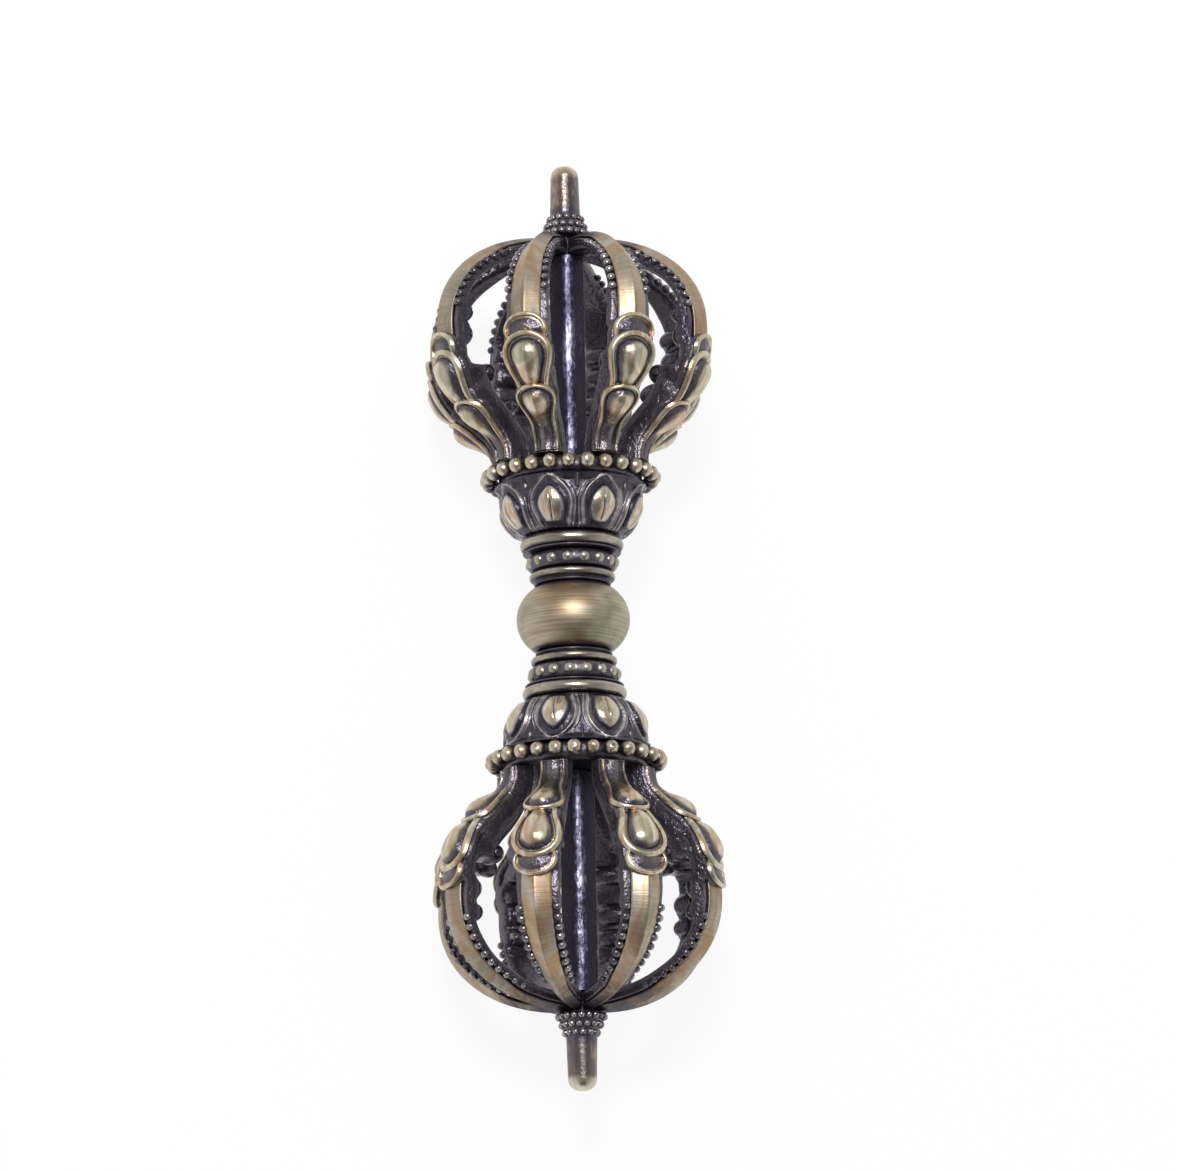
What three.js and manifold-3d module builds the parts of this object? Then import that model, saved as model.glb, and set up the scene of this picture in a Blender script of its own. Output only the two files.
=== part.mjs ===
// A nine-pronged vajra in antiqued brass, lying on its side on four small lands.
// Millimetres. The long axis runs along Y, +Z is up, and the origin is the point of the
// table below the middle of the bulb. Each half is one head: a lotus seat, a ring of pearls,
// eight curved prongs round a straight shaft, and a finial that closes the cage.

import * as THREE from 'three';
import { mergeVertices } from 'three/addons/utils/BufferGeometryUtils.js';
import Module from 'manifold-3d';

const wasm = await Module();
wasm.setup();

// Driving dimensions
const clearance = 0.3;              // between neighbouring pieces
const turnedSides = 32;             // facets round a turned piece

const bulbRadius = 9.6;
const bulbHalfLength = 5.5;
const bulbEndRadius = 6.4;
const studRadius = 3;
const studEngagement = 4.8;         // length of the stud inside each seat

const collarRadius = 7.3;
const collarLength = 2.2;
const neckBandRadius = 7.5;
const neckBandLength = 2.7;
const neckBandRound = 0.7;          // how far the band's edges fall away
const neckBeadRadius = 0.92;
const neckBeadStand = 0.7;          // how far a bead stands out of its band
const neckBeadCount = 16;
const neckRingRadius = 8.8;
const neckRingLength = 2.6;

const seatFootRadius = 8.9;
const seatBellyRadius = 11.6;
const seatTopRadius = 12.2;
const seatLength = 8.4;
const bossRadius = 9.4;             // carries the pearl ring
const petalRelief = 0.9;
const samplesPerPetal = 6;

const pearlRingLength = 3.2;
const pearlRingRadius = 13.4;
const pearlRingLip = 0.6;           // broken corner at each side of the ring
const pearlRadius = 1.05;           // half width of a pearl along the ring
const pearlHeight = 1.2;            // half length of a pearl along the axis
const pearlReach = 1.35;            // half length of a pearl along the radius
const pearlStand = 2.3;             // how far a pearl stands out of its ring
const pearlCount = 28;

const prongCount = 8;
const prongRootRadius = 13.9;
const cageRadius = 24.9;
const cageWaistHeight = 22.3;       // from the prongs' roots to the widest place
const cageCrownHeight = 18.1;       // from the widest place to the top of the cage
const restDepth = 23.6;             // from the axis to the lands that the part lies on

const rootWidth = 5.1;
const scaleWidth = 7.4;
const petalWaistWidth = 5.2;
const petalWidth = 8;
const cuffWidth = 7.4;
const bladeWidth = 5;
const bladeEndWidth = 3.2;
const rimHeight = 0.5;              // how far a leaf's rim stands out of the prong
const leafCamber = 0.9;             // drop from a leaf's middle to its edge
const leafBow = 2.4;                // how far a leaf's tip stands ahead of its corners
const leafTaper = 1;                // how much narrower a leaf is just behind its tip
const leafUndercut = 0.6;           // how far the prong's sides lie below a leaf's edges
const sideShare = 0.85;             // a prong's width at its inner corners, as a share of its whole width
const backShare = 0.5;              // and the width of its inner face
const gableHeight = 1.4;            // drop from the blade's ridge to its edges
const bodyDepth = 5.2;
const curlDepth = 8.3;              // where the curl swells out of the inner side
const petalDepth = 4;               // between the curl and the scrolls
const scrollDepth = 5.9;
const notchDepth = 4.8;             // between the two scrolls
const bladeDepth = 3.6;
const bladeEndDepth = 3;
const beadRowStand = 0.7;           // how far the row of beads stands out of a blade's side
const beadRowDepth = 1.3;

const shaftWidth = 4.7;
const shaftChamfer = 0.9;
const tangRadius = 2;
const tangLength = 3.6;
const spigotRadius = 1.9;
const spigotEngagement = 3;

const finialBaseRadius = 4.5;
const finialNeckRadius = 3;
const finialBaseLength = 4.1;
const finialRows = 3;
const finialRodRadius = 2.55;
const finialRodLength = 8.8;

// Places along the axis, from the middle of the bulb to the tip of one head
const collarStart = bulbHalfLength + clearance;
const neckBandStart = collarStart + collarLength + clearance;
const neckRingStart = neckBandStart + neckBandLength + clearance;
const seatStart = neckRingStart + neckRingLength + clearance;
const seatTop = seatStart + seatLength;
const pearlRingStart = seatTop + clearance;
const bossTop = pearlRingStart + pearlRingLength;
const rootStart = bossTop + clearance;
const cageWaist = rootStart + cageWaistHeight;
const cageTop = cageWaist + cageCrownHeight;
const finialStart = cageTop + clearance;
const prongPitch = 2 * Math.PI / prongCount;

// Finishes: rubbed brass, the darker brass of the hollows, and the nearly black shafts
const finishes = {
  brass: { color: 0xb3a27c, roughness: 0.34, metalness: 1 },
  patina: { color: 0x6e6256, roughness: 0.42, metalness: 0.9 },
  shadow: { color: 0x37323a, roughness: 0.38, metalness: 0.8 },
};

const vajra = new THREE.Group();

function addPiece(parent, name, geometry, finish) {
  const mesh = new THREE.Mesh(geometry, new THREE.MeshStandardMaterial(finishes[finish]));
  mesh.name = name;
  parent.add(mesh);
  return mesh;
}

// A closed mesh with its shared vertices merged, and nothing but positions
function weld(geometry) {
  geometry.deleteAttribute('normal');
  geometry.deleteAttribute('uv');
  return mergeVertices(geometry, 1e-4);
}

function toSolid(geometry) {
  const welded = weld(geometry);
  return new wasm.Manifold(new wasm.Mesh({
    numProp: 3,
    vertProperties: new Float32Array(welded.attributes.position.array),
    triVerts: new Uint32Array(welded.index.array),
  }));
}

function toGeometry(solid) {
  const mesh = solid.getMesh();
  const geometry = new THREE.BufferGeometry();
  geometry.setAttribute('position', new THREE.BufferAttribute(mesh.vertProperties, 3));
  geometry.setIndex(new THREE.BufferAttribute(mesh.triVerts, 1));
  return geometry;
}

function join(geometries) {
  return toGeometry(geometries.map(toSolid).reduce((whole, next) => whole.add(next)));
}

// Turns a profile of [radius, place along the axis] about the axis
function turn(profile, sides = turnedSides) {
  return weld(new THREE.LatheGeometry(profile.map(([r, y]) => new THREE.Vector2(r, y)), sides));
}

// Profile points along a quarter or half of an ellipse, angles in degrees from +radius
function roundStretch(centre, radii, fromDegrees, toDegrees, steps) {
  return Array.from({ length: steps + 1 }, (_, i) => {
    const angle = THREE.MathUtils.degToRad(fromDegrees + (toDegrees - fromDegrees) * i / steps);
    return [centre[0] + radii[0] * Math.cos(angle), centre[1] + radii[1] * Math.sin(angle)];
  });
}

// A ring with a bore for the stud and a rounded rim
function roundedRing(start, length, radius, steps) {
  const bore = studRadius + clearance;
  const flat = radius - length / 2;
  const rim = roundStretch([flat, start + length / 2], [length / 2, length / 2], -90, 90, steps);
  return turn([[bore, start], ...rim, [bore, start + length], [bore, start]]);
}

// A ring of beads, each with its centre on a circle, as one list of geometries
function beadCircle(count, circleRadius, height, [radial, axial, tangential]) {
  return Array.from({ length: count }, (_, i) => {
    const bead = new THREE.IcosahedronGeometry(1, 0);
    bead.scale(radial, axial, tangential);
    bead.translate(circleRadius, height, 0);
    bead.rotateY(2 * Math.PI * (i + 0.5) / count);
    return bead;
  });
}

// The bulb: an oblate ball, cut flat at both ends and bored for the stud
function bulb() {
  const bore = studRadius + clearance;
  const edge = Math.acos((bulbEndRadius / bulbRadius) ** 1.2);
  const steps = 10;
  const side = Array.from({ length: steps + 1 }, (_, i) => {
    const angle = edge * (2 * i / steps - 1);
    const reach = Math.cos(angle) ** (1 / 1.2);
    return [bulbRadius * reach, bulbHalfLength * Math.sin(angle) / Math.sin(edge)];
  });
  return turn([[bore, -bulbHalfLength], ...side, [bore, bulbHalfLength], [bore, -bulbHalfLength]]);
}

// The stud that ties the two seats together through the bulb and the neck rings
function coreStud() {
  const half = seatStart + studEngagement;
  return turn([[0, -half], [studRadius, -half], [studRadius, half], [0, half]], 24);
}

// A bulging band with one row of beads let into it
function neckBeads() {
  const bore = studRadius + clearance;
  const middle = neckBandStart + neckBandLength / 2;
  const end = neckBandStart + neckBandLength;
  const edgeRadius = neckBandRadius - neckBandRound;
  const band = turn([
    [bore, neckBandStart], [edgeRadius, neckBandStart],
    [neckBandRadius, neckBandStart + neckBandRound], [neckBandRadius, end - neckBandRound],
    [edgeRadius, end], [bore, end], [bore, neckBandStart],
  ], 2 * neckBeadCount);
  const circle = neckBandRadius + neckBeadStand - neckBeadRadius;
  const size = [neckBeadRadius, neckBeadRadius, neckBeadRadius];
  return join([band, ...beadCircle(neckBeadCount, circle, middle, size)]);
}

// The lotus seat: a flaring cup carved with one petal under each prong. Its boss carries the
// pearl ring, and it has a socket for the stud below and one for the shaft's tang above.
function lotusSeat() {
  const studBore = studRadius + clearance;
  const tangBore = tangRadius + clearance;
  const studSocketTop = seatStart + studEngagement + clearance;
  const tangSocketBottom = rootStart - tangLength - clearance;
  const flank = [
    [seatFootRadius, 0], [0.45 * seatFootRadius + 0.55 * seatBellyRadius, 0.13],
    [seatBellyRadius, 0.38], [seatBellyRadius, 0.62],
    [seatTopRadius, 0.85], [seatTopRadius, 1],
  ].map(([r, fraction]) => [r, seatStart + fraction * seatLength]);
  const seat = turn([
    [0, studSocketTop], [studBore, studSocketTop], [studBore, seatStart],
    ...flank,
    [bossRadius, seatTop], [bossRadius, bossTop],
    [tangBore, bossTop], [tangBore, tangSocketBottom], [0, tangSocketBottom],
  ], samplesPerPetal * prongCount);
  return carvePetals(seat);
}

// Swells the flank into petals: widest in the middle of each petal and of the flank
function carvePetals(seat) {
  const place = seat.attributes.position;
  for (let i = 0; i < place.count; i += 1) {
    const radius = Math.hypot(place.getX(i), place.getZ(i));
    const height = (place.getY(i) - seatStart) / seatLength;
    const onFlank = radius > seatFootRadius && height > 0 && height < 1;
    if (onFlank) {
      const azimuth = Math.atan2(place.getZ(i), place.getX(i));
      const across = Math.abs(Math.sin(azimuth * prongCount / 2));
      const swell = 1 + petalRelief * across * Math.sin(Math.PI * height) / radius;
      place.setX(i, place.getX(i) * swell);
      place.setZ(i, place.getZ(i) * swell);
    }
  }
  return seat;
}

// The ring of pearls round the boss, under the roots of the prongs
function pearlRing() {
  const bore = bossRadius + clearance;
  const end = bossTop;
  const lipRadius = pearlRingRadius - pearlRingLip;
  const ring = turn([
    [bore, pearlRingStart], [lipRadius, pearlRingStart],
    [pearlRingRadius, pearlRingStart + pearlRingLip], [pearlRingRadius, end - pearlRingLip],
    [lipRadius, end], [bore, end], [bore, pearlRingStart],
  ], pearlCount);
  const circle = pearlRingRadius + pearlStand - pearlReach;
  const size = [pearlReach, pearlHeight, pearlRadius];
  const middle = pearlRingStart + pearlRingLength / 2;
  return join([ring, ...beadCircle(pearlCount, circle, middle, size)]);
}

// The straight shaft in the cage: a bar with broken corners, a round tang that seats in the
// lotus and a spigot that passes between the prongs' ends into the finial
function centralShaft() {
  const barTop = cageTop - bladeEndDepth - clearance;
  const half = shaftWidth / 2;
  const flat = half - shaftChamfer;
  const outline = new THREE.Shape([
    [half, flat], [flat, half], [-flat, half], [-half, flat],
    [-half, -flat], [-flat, -half], [flat, -half], [half, -flat],
  ].map(([x, y]) => new THREE.Vector2(x, y)));
  const bar = new THREE.ExtrudeGeometry(outline, { depth: barTop - rootStart, bevelEnabled: false });
  bar.rotateX(-Math.PI / 2);
  bar.rotateY(Math.PI / 4);
  bar.translate(0, rootStart, 0);
  const tangBottom = rootStart - tangLength;
  const spigotTop = finialStart + spigotEngagement;
  const pin = turn([
    [0, tangBottom], [tangRadius, tangBottom], [tangRadius, rootStart + tangRadius],
    [spigotRadius, barTop - spigotRadius], [spigotRadius, spigotTop], [0, spigotTop],
  ], 16);
  return join([bar, pin]);
}

// The finial: a base with three rows round it, and a rod with a rounded end
function finial() {
  const bore = spigotRadius + clearance;
  const socketTop = finialStart + spigotEngagement + clearance;
  const rowLength = finialBaseLength / finialRows;
  const rows = Array.from({ length: finialRows }, (_, i) => {
    const share = i / (finialRows - 1);
    const radius = THREE.MathUtils.lerp(finialBaseRadius, finialNeckRadius, share);
    const middle = finialStart + (i + 0.5) * rowLength;
    return roundStretch([radius - rowLength / 2, middle], [rowLength / 2, rowLength / 2], -90, 90, 3);
  }).flat();
  const rodEnd = finialStart + finialBaseLength + finialRodLength;
  const dome = roundStretch([0, rodEnd - finialRodRadius], [finialRodRadius, finialRodRadius], 0, 90, 4);
  return turn([
    [0, socketTop], [bore, socketTop], [bore, finialStart],
    ...rows,
    [finialRodRadius, finialStart + finialBaseLength],
    ...dome.slice(0, -1), [0, rodEnd],
  ], 20);
}

// The lower flank of a prong's ridge, as shares of its rise in radius and in height
const lowerFlank = new THREE.SplineCurve([
  [0, 0], [0.01, 0.1], [0.19, 0.235], [0.62, 0.41], [0.855, 0.605], [0.965, 0.8], [1, 1],
].map(([rise, height]) => new THREE.Vector2(rise, height)));

// The ridge at t: 0 is the root, 1 the widest place and 2 the end at the spigot. Above the
// widest place it is a rounded arc, a little squarer than an ellipse.
function ridge(t) {
  if (t <= 1) {
    const share = lowerFlank.getPoint(t);
    return new THREE.Vector2(
      THREE.MathUtils.lerp(prongRootRadius, cageRadius, share.x),
      rootStart + cageWaistHeight * share.y,
    );
  }
  const angle = (t - 1) * Math.PI / 2;
  const endRadius = spigotRadius + clearance;
  return new THREE.Vector2(
    endRadius + (cageRadius - endRadius) * Math.cos(angle),
    cageWaist + cageCrownHeight * Math.sin(angle) ** (1 / 1.1),
  );
}

// The direction from the ridge into the prong: square to the ridge, but straight towards the
// axis at the root and along the axis at the end, so that both ends are flat
function inward(t) {
  if (t === 0) return new THREE.Vector2(-1, 0);
  if (t === 2) return new THREE.Vector2(0, -1);
  const step = 0.01;
  const along = ridge(Math.min(t + step, 2)).sub(ridge(t - step)).normalize();
  return new THREE.Vector2(-along.y, along.x);
}

// Sections of a prong from root to end: place on the ridge, width, how far the middle stands
// out, drop to the edges, depth from the ridge to the back, how far the middle leads, and how
// far the sides below the edges stand out of them
const prongSections = [
  [0, rootWidth, 0, leafCamber / 2, bodyDepth, 0, 0],
  [0.28, rootWidth, 0, leafCamber / 2, bodyDepth, 0, 0],
  [0.4, (rootWidth + scaleWidth) / 2, rimHeight, leafCamber, bodyDepth, leafBow / 2, -leafUndercut / 2],
  [0.49, scaleWidth, rimHeight / 2, leafCamber, (bodyDepth + curlDepth) / 2, leafBow, -leafUndercut],
  [0.53, scaleWidth - leafTaper, rimHeight, leafCamber, curlDepth, leafBow, -leafUndercut / 2],
  [0.545, petalWaistWidth, 0, leafCamber, curlDepth, leafBow, 0],
  [0.63, (petalWaistWidth + petalWidth) / 2, rimHeight, leafCamber, curlDepth, leafBow, -leafUndercut],
  [0.69, petalWidth, rimHeight / 2, leafCamber, petalDepth, leafBow, -leafUndercut],
  [0.84, petalWidth, rimHeight, leafCamber, petalDepth, leafBow, -leafUndercut],
  [0.87, petalWidth - leafTaper, rimHeight, leafCamber, notchDepth, leafBow, -leafUndercut / 2],
  [0.88, cuffWidth - leafTaper, -rimHeight / 2, leafCamber / 2, notchDepth, leafBow, 0],
  [0.92, cuffWidth, rimHeight, leafCamber, scrollDepth, leafBow, -leafUndercut],
  [0.98, cuffWidth, rimHeight, leafCamber, scrollDepth, leafBow, -leafUndercut],
  [0.99, bladeWidth, 0, gableHeight, scrollDepth, leafBow, 0],
  [1.04, bladeWidth, 0, gableHeight, notchDepth, 0, beadRowStand],
  [1.08, bladeWidth, 0, gableHeight, scrollDepth, 0, beadRowStand],
  [1.13, bladeWidth, 0, gableHeight, scrollDepth, 0, beadRowStand],
  [1.17, bladeWidth, 0, gableHeight, bladeDepth, 0, beadRowStand],
  [1.42, bladeWidth, 0, gableHeight, bladeDepth, 0, beadRowStand],
  [1.6, (bladeWidth + bladeEndWidth) / 2, 0, gableHeight, bladeDepth, 0, beadRowStand],
  [1.76, bladeEndWidth, 0, gableHeight, (bladeDepth + bladeEndDepth) / 2, 0, beadRowStand],
  [1.88, bladeEndWidth, 0, gableHeight / 2, bladeEndDepth, 0, beadRowStand],
  [2, bladeEndWidth, 0, gableHeight / 2, bladeEndDepth, 0, 0],
];

// The points round one section, each as [depth below the ridge, offset to the side, lag]
function sectionOutline([, width, stand, drop, depth, bow, rowStand]) {
  const half = width / 2;
  const lag = bow / cageWaistHeight;
  const flank = [
    [0.4 * drop - stand, 0.55 * half, 0.3 * lag],
    [drop - stand, half, lag],
    [drop + beadRowDepth / 2, half + rowStand, lag],
    [Math.max(sideShare * depth, drop + beadRowDepth), sideShare * half, 0],
    [depth, backShare * half, 0],
  ];
  const otherFlank = flank.map(([below, side, behind]) => [below, -side, behind]).reverse();
  return [[-stand, 0, 0], ...flank, ...otherFlank];
}

// One prong, along +X from the axis: its sections joined by a skin and closed by flat ends.
// Its sides keep clear of its neighbours, and the lands are cut square to the table.
function prong() {
  const halfPitch = prongPitch / 2;
  const positions = prongSections.flatMap((section) => (
    sectionOutline(section).flatMap(([depth, side, lag]) => {
      const start = ridge(section[0] - lag);
      const towards = inward(section[0] - lag);
      const height = start.y + depth * towards.y;
      const radius = start.x + depth * towards.x;
      const room = (radius - clearance / 2 / Math.sin(halfPitch)) * Math.tan(halfPitch);
      const offset = THREE.MathUtils.clamp(side, -room, room);
      const land = (restDepth - Math.abs(offset) * Math.sin(halfPitch)) / Math.cos(halfPitch);
      return [Math.min(radius, land), height, offset];
    })
  ));
  const count = sectionOutline(prongSections[0]).length;
  const last = prongSections.length - 1;
  const faces = [];
  for (let row = 0; row < last; row += 1) {
    for (let i = 0; i < count; i += 1) {
      const next = (i + 1) % count;
      const [a, b] = [row * count + i, row * count + next];
      faces.push(a, a + count, b, b, a + count, b + count);
    }
  }
  for (let i = 1; i < count - 1; i += 1) {
    faces.push(0, i, i + 1);
    faces.push(last * count, last * count + i + 1, last * count + i);
  }
  const geometry = new THREE.BufferGeometry();
  geometry.setAttribute('position', new THREE.Float32BufferAttribute(positions, 3));
  geometry.setIndex(faces);
  return geometry;
}

// One head, from the neck collar to the finial, with its tip towards +Y
function head(prefix) {
  const group = new THREE.Group();
  const neckRing = roundedRing(neckRingStart, neckRingLength, neckRingRadius, 6);
  addPiece(group, `${prefix}_neck_collar`, roundedRing(collarStart, collarLength, collarRadius, 4), 'brass');
  addPiece(group, `${prefix}_neck_beads`, neckBeads(), 'patina');
  addPiece(group, `${prefix}_neck_ring`, neckRing, 'brass');
  addPiece(group, `${prefix}_lotus_seat`, lotusSeat(), 'patina');
  addPiece(group, `${prefix}_pearl_ring`, pearlRing(), 'brass');
  addPiece(group, `${prefix}_central_shaft`, centralShaft(), 'shadow');
  addPiece(group, `${prefix}_finial`, finial(), 'brass');
  for (let i = 0; i < prongCount; i += 1) {
    const piece = addPiece(group, `${prefix}_prong_${i + 1}`, prong(), 'brass');
    piece.rotation.y = (i + 0.5) * prongPitch;
  }
  return group;
}

const upperHead = head('upper');
const lowerHead = head('lower');
lowerHead.rotation.z = Math.PI;
vajra.add(upperHead, lowerHead);
addPiece(vajra, 'bulb', bulb(), 'brass');
addPiece(vajra, 'core_stud', coreStud(), 'shadow');
vajra.position.z = restDepth;

export default vajra;
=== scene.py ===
import bmesh
import bpy
import numpy as np
from mathutils import Matrix, Vector


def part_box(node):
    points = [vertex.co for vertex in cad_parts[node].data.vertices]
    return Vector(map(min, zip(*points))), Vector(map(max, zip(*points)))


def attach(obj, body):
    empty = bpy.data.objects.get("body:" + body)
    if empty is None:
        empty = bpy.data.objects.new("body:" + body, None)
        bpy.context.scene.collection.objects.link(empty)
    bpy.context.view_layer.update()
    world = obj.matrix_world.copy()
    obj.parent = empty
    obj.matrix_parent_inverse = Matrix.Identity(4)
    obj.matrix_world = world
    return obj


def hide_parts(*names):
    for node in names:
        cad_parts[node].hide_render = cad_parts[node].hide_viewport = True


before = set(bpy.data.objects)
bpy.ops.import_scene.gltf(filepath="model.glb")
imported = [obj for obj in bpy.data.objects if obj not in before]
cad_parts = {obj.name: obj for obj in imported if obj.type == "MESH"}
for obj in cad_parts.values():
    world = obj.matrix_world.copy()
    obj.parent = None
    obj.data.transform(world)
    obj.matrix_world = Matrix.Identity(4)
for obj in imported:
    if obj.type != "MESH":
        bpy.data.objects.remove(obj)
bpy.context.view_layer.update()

# The camera looks down on the vajra from a little below its middle, leaning a few degrees to
# the left of straight overhead. The vajra's axis runs up the picture.
axis_height = (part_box("bulb")[0].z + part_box("bulb")[1].z) / 2
camera_distance = 0.9
camera_tilt = np.radians(12.75)      # from square to the axis, towards the lower head
camera_roll = np.radians(5.5)        # round the axis, to the left
picture_lean = np.radians(1.2)       # the axis leans left at the top of the picture
picture_middle = (0.0027, 0.0058)    # the point of the axis plane in the picture's middle

camera_data = bpy.data.cameras.new("camera")
camera_data.sensor_width = 36.0
camera_data.lens = 162.7
camera = bpy.data.objects.new("camera", camera_data)
bpy.context.scene.collection.objects.link(camera)
bpy.context.scene.camera = camera
back = Vector((
    -np.sin(camera_roll) * np.cos(camera_tilt),
    -np.sin(camera_tilt),
    np.cos(camera_roll) * np.cos(camera_tilt),
))
right = Vector((0.0, 1.0, 0.0)).cross(back).normalized()
up = back.cross(right)
middle = Vector((0.0, 0.0, axis_height)) + picture_middle[0] * right + picture_middle[1] * up
turn = Matrix((right, up, back)).transposed() @ Matrix.Rotation(-picture_lean, 3, "Z")
camera.matrix_world = Matrix.Translation(middle + camera_distance * back) @ turn.to_4x4()
bpy.context.scene.view_settings.view_transform = "Standard"


# The studio: a white sheet of paper to lie on, a pale room that is darker overhead and has a
# dark shape standing beyond the lower head, and a small lamp and a broad one nearly overhead.
def add_node(nodes, kind, inputs=None, **settings):
    """Adds a shader node. A socket given as an input is linked, and anything else is a value."""
    node = nodes.new(kind)
    for name, value in settings.items():
        setattr(node, name, value)
    for name, value in (inputs or {}).items():
        if isinstance(value, bpy.types.NodeSocket):
            node.id_data.links.new(value, node.inputs[name])
        else:
            node.inputs[name].default_value = value
    return node


def set_ramp(node, stops):
    """Fills a colour ramp with (place, colour) stops."""
    ramp = node.color_ramp
    while len(ramp.elements) < len(stops):
        ramp.elements.new(1.0)
    for element, (place, colour) in zip(ramp.elements, stops):
        element.position = place
        element.color = (*colour, 1.0)


room_floor = (0.92, 0.92, 0.93)
room_wall = (0.86, 0.86, 0.87)
room_shoulder = (0.46, 0.46, 0.47)
room_overhead = (0.18, 0.18, 0.19)
shape_direction = (0.04, -0.85, 0.52)
shape_edge, shape_core = 0.84, 0.95  # cosines from its direction: soft edge and full shade
shape_shade = 0.25                   # share of the room's light that it leaves

world = bpy.data.worlds.new("pale_room")
bpy.context.scene.world = world
world.use_nodes = True
nodes = world.node_tree.nodes
nodes.clear()
direction = add_node(nodes, "ShaderNodeTexCoord")
split = add_node(nodes, "ShaderNodeSeparateXYZ", {0: direction.outputs["Generated"]})
room = add_node(nodes, "ShaderNodeValToRGB", {0: split.outputs["Z"]})
set_ramp(room, [(0.0, room_floor), (0.25, room_wall), (0.7, room_shoulder), (1.0, room_overhead)])
shape = add_node(nodes, "ShaderNodeVectorMath", {
    0: direction.outputs["Generated"], 1: shape_direction,
}, operation="DOT_PRODUCT")
shaded = add_node(nodes, "ShaderNodeMapRange", {
    "Value": shape.outputs["Value"], "From Min": shape_edge, "From Max": shape_core,
    "To Min": 1.0, "To Max": shape_shade,
}, interpolation_type="SMOOTHSTEP")
glow = add_node(nodes, "ShaderNodeBackground", {
    "Color": room.outputs["Color"], "Strength": shaded.outputs[0],
})
add_node(nodes, "ShaderNodeOutputWorld", {"Surface": glow.outputs[0]})

paper_reach = 3.0                    # from its middle to each edge, in metres
paper_gap = 0.00002                  # below the vajra, so that no two faces share a plane
paper_mesh = bpy.data.meshes.new("paper")
corners = [(-paper_reach, -paper_reach), (paper_reach, -paper_reach),
           (paper_reach, paper_reach), (-paper_reach, paper_reach)]
paper_mesh.from_pydata([(x, y, -paper_gap) for x, y in corners], [], [(0, 1, 2, 3)])
paper = bpy.data.objects.new("paper", paper_mesh)
bpy.context.scene.collection.objects.link(paper)

paper_colour = (0.93, 0.93, 0.93, 1.0)
paper_white = 0.9                    # share of plain white where the camera or metal sees it
finish = bpy.data.materials.new("white_paper")
finish.use_nodes = True
nodes = finish.node_tree.nodes
nodes.clear()
matt = add_node(nodes, "ShaderNodeBsdfDiffuse", {"Color": paper_colour})
plain = add_node(nodes, "ShaderNodeEmission", {"Color": (1, 1, 1, 1), "Strength": 1.0})
path = add_node(nodes, "ShaderNodeLightPath")
seen = add_node(nodes, "ShaderNodeMath", {
    0: path.outputs["Is Camera Ray"], 1: path.outputs["Is Glossy Ray"],
}, operation="ADD", use_clamp=True)
seen = add_node(nodes, "ShaderNodeMath", {
    0: seen.outputs[0], 1: path.outputs["Is Transmission Ray"],
}, operation="ADD", use_clamp=True)
whiteness = add_node(nodes, "ShaderNodeMath", {
    0: seen.outputs[0], 1: paper_white,
}, operation="MULTIPLY")
mixed = add_node(nodes, "ShaderNodeMixShader", {
    0: whiteness.outputs[0], 1: matt.outputs[0], 2: plain.outputs[0],
})
add_node(nodes, "ShaderNodeOutputMaterial", {"Surface": mixed.outputs[0]})
paper_mesh.materials.append(finish)


def add_lamp(name, direction_angles, distance, size, power):
    """An oval area lamp that faces the bulb. Its direction is given as degrees from straight
    up towards the upper head, then degrees towards the right, and its size across and along."""
    forward, sideways = np.radians(direction_angles)
    towards = Vector((np.sin(sideways), np.sin(forward), np.cos(forward) * np.cos(sideways)))
    towards.normalize()
    across = Vector((0.0, 1.0, 0.0)).cross(towards).normalized()
    turned = Matrix((across, towards.cross(across), towards)).transposed().to_4x4()
    data = bpy.data.lights.new(name, "AREA")
    data.shape = "ELLIPSE"
    data.size, data.size_y = size
    data.energy = power
    lamp = bpy.data.objects.new(name, data)
    bpy.context.scene.collection.objects.link(lamp)
    lamp.matrix_world = Matrix.Translation(Vector((0, 0, axis_height)) + distance * towards) @ turned


add_lamp("key_lamp", direction_angles=(16.0, -8.0), distance=0.9, size=(0.26, 0.24), power=4.6)
add_lamp("window_lamp", direction_angles=(14.0, 6.0), distance=0.9, size=(0.42, 0.60), power=1.8)


# The bulb: the ball in the middle that the hand closes round. It is turned brass, brushed
# round the axis, bored through for the stud, and rubbed bright but for its two ends.
mm = 0.001                           # the frame is in metres, the shapes are in millimetres
weld_distance = 0.002                # points of a mesh that are nearer than this are made one
sharp_angle = 50                     # in degrees, past which an edge isn't shaded smooth


def smooth(value, low=0.0, high=1.0):
    """A step with soft ends, from 0 at low to 1 at high: three times the square of the share
    of the way less twice its cube."""
    share = np.clip((value - low) / (high - low), 0.0, 1.0)
    return share * share * (3.0 - 2.0 * share)


def arc(centre, radii, start, end, steps):
    """Points [radius, height] along an ellipse, by angles in degrees from the radius."""
    angle = np.radians(np.linspace(start, end, steps))
    return np.stack([centre[0] + radii[0] * np.cos(angle), centre[1] + radii[1] * np.sin(angle)], 1)


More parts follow.
